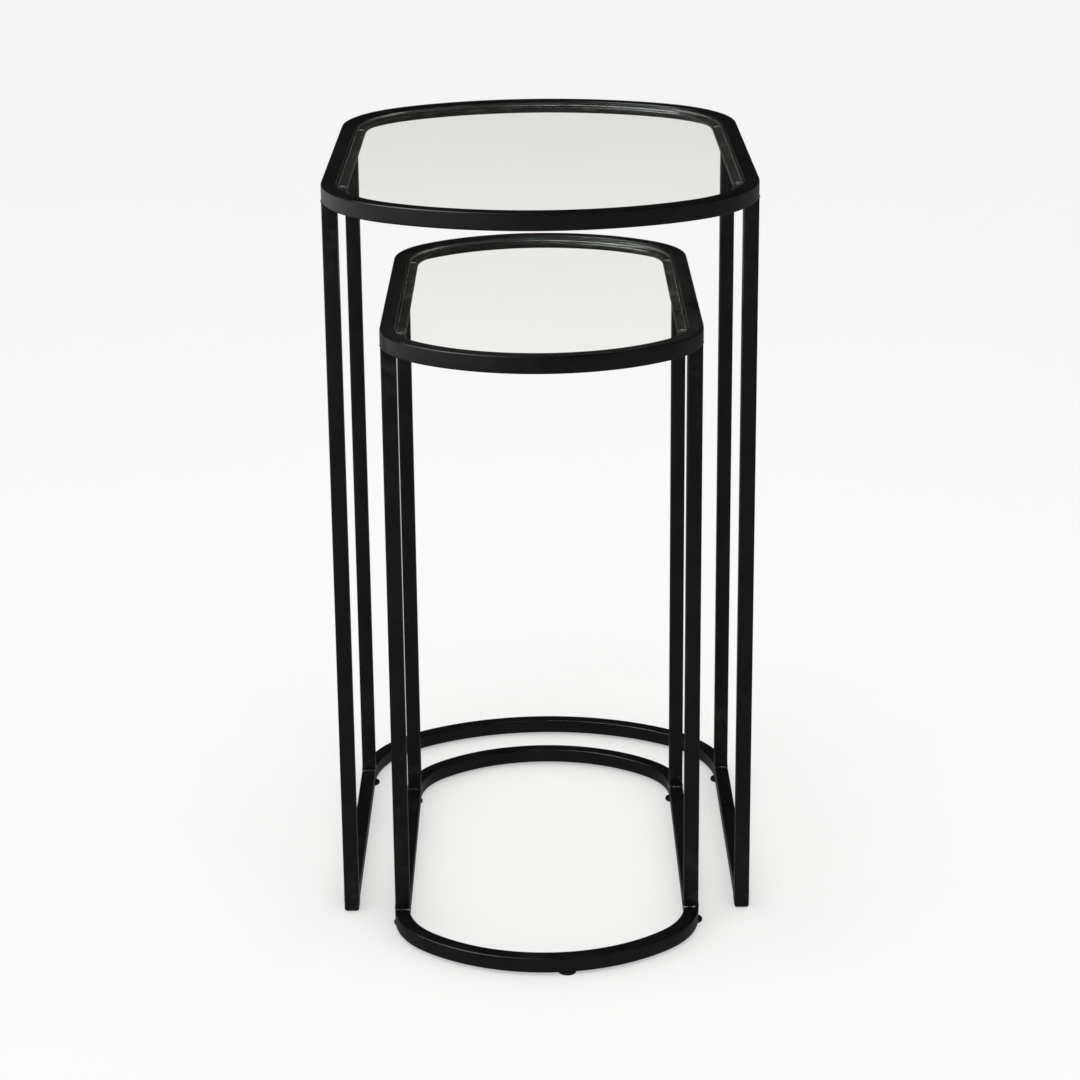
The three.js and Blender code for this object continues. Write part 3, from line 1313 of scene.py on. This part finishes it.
@dataclass
class Glides:
    """Round nylon glides under a base tube, dished on the tread, with a raised rim."""

    body: Body
    nodes: tuple[str, ...]
    disc_height: float = 2.2 * MM
    rim_width: float = 1.2 * MM
    dish: float = 0.45 * MM
    stem_radius: float = 2 * MM
    middle_share: float = 0.3
    dish_step: float = 0.6
    steps: int = 48

    def profile(self, radius: float, top: float) -> list[Point]:
        """Radius and height of the glide's rows, from the tread's middle to the stem's top."""
        rim, disc, stem = radius - self.rim_width, self.disc_height, self.stem_radius
        rows = [
            (radius * self.middle_share, self.dish),
            (rim - 0.5 * MM, self.dish),
            (rim, self.dish * self.dish_step),
            (rim + 0.25 * MM, 0.1 * MM),
            (rim + 0.5 * MM, 0.0),
        ]
        rows += [(radius - inset * MM, up * MM) for inset, up in RIM_ROWS]
        rows += [(radius - inset * MM, disc - down * MM) for inset, down in DISC_ROWS]
        rows += [
            (stem + 0.4 * MM, disc),
            (stem, disc + 0.3 * MM),
            (stem, top - 0.5 * MM),
            (stem - 0.5 * MM, top),
        ]
        return rows

    def build(self, finishes: Finishes) -> None:
        """Builds and dresses each glide."""
        for node in self.nodes:
            low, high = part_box(node)
            profile = self.profile((high.x - low.x) / 2, high.z - low.z)
            rows = lathe_rows(profile, foot_centre(low, high), self.steps)
            piece = loft(f"{node}_disc", rows, (finishes.nylon,))
            attach(piece, self.body, Slot.NYLON, node)


@dataclass
class FootPlugs:
    """Moulded feet with round lower edges that close the open ends of two legs."""

    body: Body
    nodes: tuple[str, ...]
    head: float = 3 * MM
    edge: float = 1.4 * MM
    corner: float = 2.6 * MM
    tread_inset: float = 0.6 * MM
    arris_drop: float = 0.15 * MM
    arris_inset: float = 0.12 * MM
    neck_inset: float = 1.5 * MM
    neck_length: float = 4 * MM
    edge_growth: float = 0.9
    edge_loss: float = 0.5
    steps: int = 7

    def outline(self, low: Vector, high: Vector, inset: float, z: float) -> Row:
        """The foot's outline in plan, set in by inset, at a height."""
        edge = max(self.edge, inset * self.edge_growth)
        reach = edge - inset * self.edge_loss
        middle, half = (low + high) / 2, (high - low) / 2
        points: Row = []
        for quarter, (sx, sy) in enumerate(((1, 1), (-1, 1), (-1, -1), (1, -1))):
            cx = middle.x + sx * (half.x - inset - reach)
            cy = middle.y + sy * (half.y - inset - reach)
            points += corner_arc(cx, cy, reach, quarter, self.steps, z)
        return points

    def rows(self, bottom: float) -> list[Point]:
        """Inset and height of each row, from the tread up to the neck's top."""
        rows = [(self.corner + self.tread_inset, bottom)]
        for i in range(self.steps + 1):
            angle = math.pi / 2 * i / self.steps
            inset = self.corner * (1 - math.sin(angle))
            rows.append((inset, bottom + self.corner * (1 - math.cos(angle))))
        top = bottom + self.head
        rows += [
            (0.0, top - self.arris_drop),
            (self.arris_inset, top),
            (self.neck_inset, top),
            (self.neck_inset, top + self.neck_length),
        ]
        return rows

    def build(self, finishes: Finishes) -> None:
        """Builds and dresses each foot."""
        for node in self.nodes:
            low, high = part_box(node)
            rows = [self.outline(low, high, inset, z) for inset, z in self.rows(low.z)]
            piece = loft(f"{node}_moulding", rows, (finishes.nylon,))
            attach(piece, self.body, Slot.NYLON, node)


# ---------------------------------------------------------------- studio


@dataclass(frozen=True)
class SoftLight:
    """One area light of the studio."""

    name: str
    place: Place
    aim: Place
    size: Point
    power: float
    colour: Colour = (1.0, 1.0, 1.0)
    on_matt: bool = True
    on_gloss: bool = True

    def build(self) -> None:
        """Adds the light to the scene."""
        lamp = bpy.data.lights.new(self.name, "AREA")
        lamp.shape = "RECTANGLE"
        lamp.size, lamp.size_y = self.size
        lamp.energy = self.power
        lamp.color = self.colour
        light = bpy.data.objects.new(self.name, lamp)
        light.location = self.place
        light.visible_diffuse, light.visible_glossy = self.on_matt, self.on_gloss
        away = Vector(self.aim) - Vector(self.place)
        light.rotation_euler = away.to_track_quat("-Z", "Y").to_euler()
        bpy.context.scene.collection.objects.link(light)


@dataclass(frozen=True)
class Studio:
    """Pale floor, soft lights, surroundings and camera."""

    lens: float = 90.14
    camera_place: Place = (-0.00424, -2.16127, 1.00924)
    pitch: float = 0.3025
    yaw: float = -0.001
    roll: float = -0.0096
    shift_y: float = -0.06
    floor_size: float = 60.0
    backdrop: float = 0.93
    ambient: float = 0.93
    horizon: float = 0.15
    shade: Point = (0.02, 0.001)
    sheen: Point = (0.40, 0.02)

    def build(self) -> None:
        """Builds the floor, the surroundings, the lights and the camera."""
        self.build_floor()
        self.build_world()
        for light in self.lights():
            light.build()
        self.build_camera()
        bpy.context.scene.view_settings.view_transform = "Standard"

    def lights(self) -> tuple[SoftLight, ...]:
        """The soft lights."""
        centre, low, cool = (0.0, -0.1, 0.6), (0.0, 0.0, 0.1), (0.95, 0.97, 1.0)
        return (
            SoftLight("overhead", (-0.1, -0.35, 2.4), centre, (0.8, 0.3), 6.0, on_gloss=False),
            SoftLight("glint", (-1.35, -0.45, 2.2), centre, (1.5, 1.5), 45.0, cool, on_matt=False),
            SoftLight("front_left", (-1.6, -2.6, 0.7), low, (1.4, 1.0), 10.0, on_gloss=False),
            SoftLight("front_right", (1.8, -2.4, 0.6), low, (1.4, 1.0), 8.0, on_gloss=False),
        )

    def build_floor(self) -> None:
        """Adds the pale floor."""
        half = self.floor_size / 2
        corners = [(-half, -half, 0), (half, -half, 0), (half, half, 0), (-half, half, 0)]
        mesh = bpy.data.meshes.new("floor")
        mesh.from_pydata(corners, [], [(0, 1, 2, 3)])
        mesh.materials.append(StudioFloor().build())
        floor = new_object("floor", mesh)

    def build_world(self) -> None:
        """Adds even pale surroundings, which are darker overhead in reflections."""
        world = bpy.data.worlds.new("studio")
        bpy.context.scene.world = world
        world.use_nodes = True
        world.node_tree.nodes.clear()
        graph = Graph(world.node_tree)
        path = graph.add("ShaderNodeLightPath").outputs
        even = graph.add("ShaderNodeBackground", {0: (1.0, 1.0, 1.0, 1.0), 1: self.ambient})
        values = {0: (1.0, 1.0, 0.995, 1.0), 1: self.backdrop}
        seen = graph.add("ShaderNodeBackground", values)
        place = graph.add("ShaderNodeTexCoord").outputs["Generated"]
        up = graph.add("ShaderNodeSeparateXYZ", {0: place}).outputs["Z"]
        shade = graph.remap(up, 0.0, self.horizon, self.shade)
        dim = graph.add("ShaderNodeBackground", {0: (1.0, 0.98, 0.96, 1.0), 1: shade})
        sheen = graph.remap(up, 0.0, self.horizon, self.sheen)
        mirrored = graph.add("ShaderNodeBackground", {0: (0.97, 1.0, 0.99, 1.0), 1: sheen})
        layers = (
            (path["Is Glossy Ray"], dim),
            (path["Is Singular Ray"], mirrored),
            (path["Is Camera Ray"], seen),
        )
        surface = layered(graph, even.outputs[0], layers)
        graph.add("ShaderNodeOutputWorld", {"Surface": surface})

    def build_camera(self) -> None:
        """Adds the camera."""
        lens = bpy.data.cameras.new("camera")
        lens.lens = self.lens
        lens.sensor_width = 36.0
        lens.shift_y = self.shift_y
        lens.clip_start, lens.clip_end = 0.05, 100.0
        camera = bpy.data.objects.new("camera", lens)
        turn = Matrix.Rotation(self.yaw, 4, "Z")
        turn = turn @ Matrix.Rotation(math.pi / 2 - self.pitch, 4, "X")
        turn = turn @ Matrix.Rotation(self.roll, 4, "Z")
        camera.matrix_world = Matrix.Translation(self.camera_place) @ turn
        bpy.context.scene.collection.objects.link(camera)
        bpy.context.scene.camera = camera


# ---------------------------------------------------------------- the nest


def build_large(trees: Trees, finishes: Finishes) -> None:
    """Builds the large table."""
    plan = LoopPlan.from_ring("large_top_ring", 170 * MM, 112 * MM)
    body, base = Body.LARGE_FRAME, "large_base_rail"
    Frame(trees, finishes, "large", body, plan, base, open_front=True, seed=5).build()
    GlassTop("large", Body.LARGE_GLASS, plan).build(finishes)
    Bumpers("large", body).build(finishes)
    Glides(body, ("large_glide_back_left", "large_glide_back_right")).build(finishes)
    plugs = ("large_foot_plug_front_left", "large_foot_plug_front_right")
    FootPlugs(body, plugs).build(finishes)


def build_small(trees: Trees, finishes: Finishes) -> None:
    """Builds the small table."""
    plan = LoopPlan.from_ring("small_top_ring", 146 * MM, 75 * MM)
    body, base = Body.SMALL_FRAME, "small_base_ring"
    Frame(trees, finishes, "small", body, plan, base, open_front=False, seed=9).build()
    GlassTop("small", Body.SMALL_GLASS, plan).build(finishes)
    Bumpers("small", body).build(finishes)
    places = ("front_left", "front_right", "front_middle", "back_left", "back_right")
    Glides(body, tuple(f"small_glide_{place}" for place in places)).build(finishes)


def main() -> None:
    """Builds the studio and then both tables."""
    logging.basicConfig(level=logging.INFO, format="%(name)s: %(message)s")
    Studio().build()
    finishes = Finishes.build()
    trees = Trees.build()
    build_large(trees, finishes)
    build_small(trees, finishes)


if __name__ == "__main__":
    main()
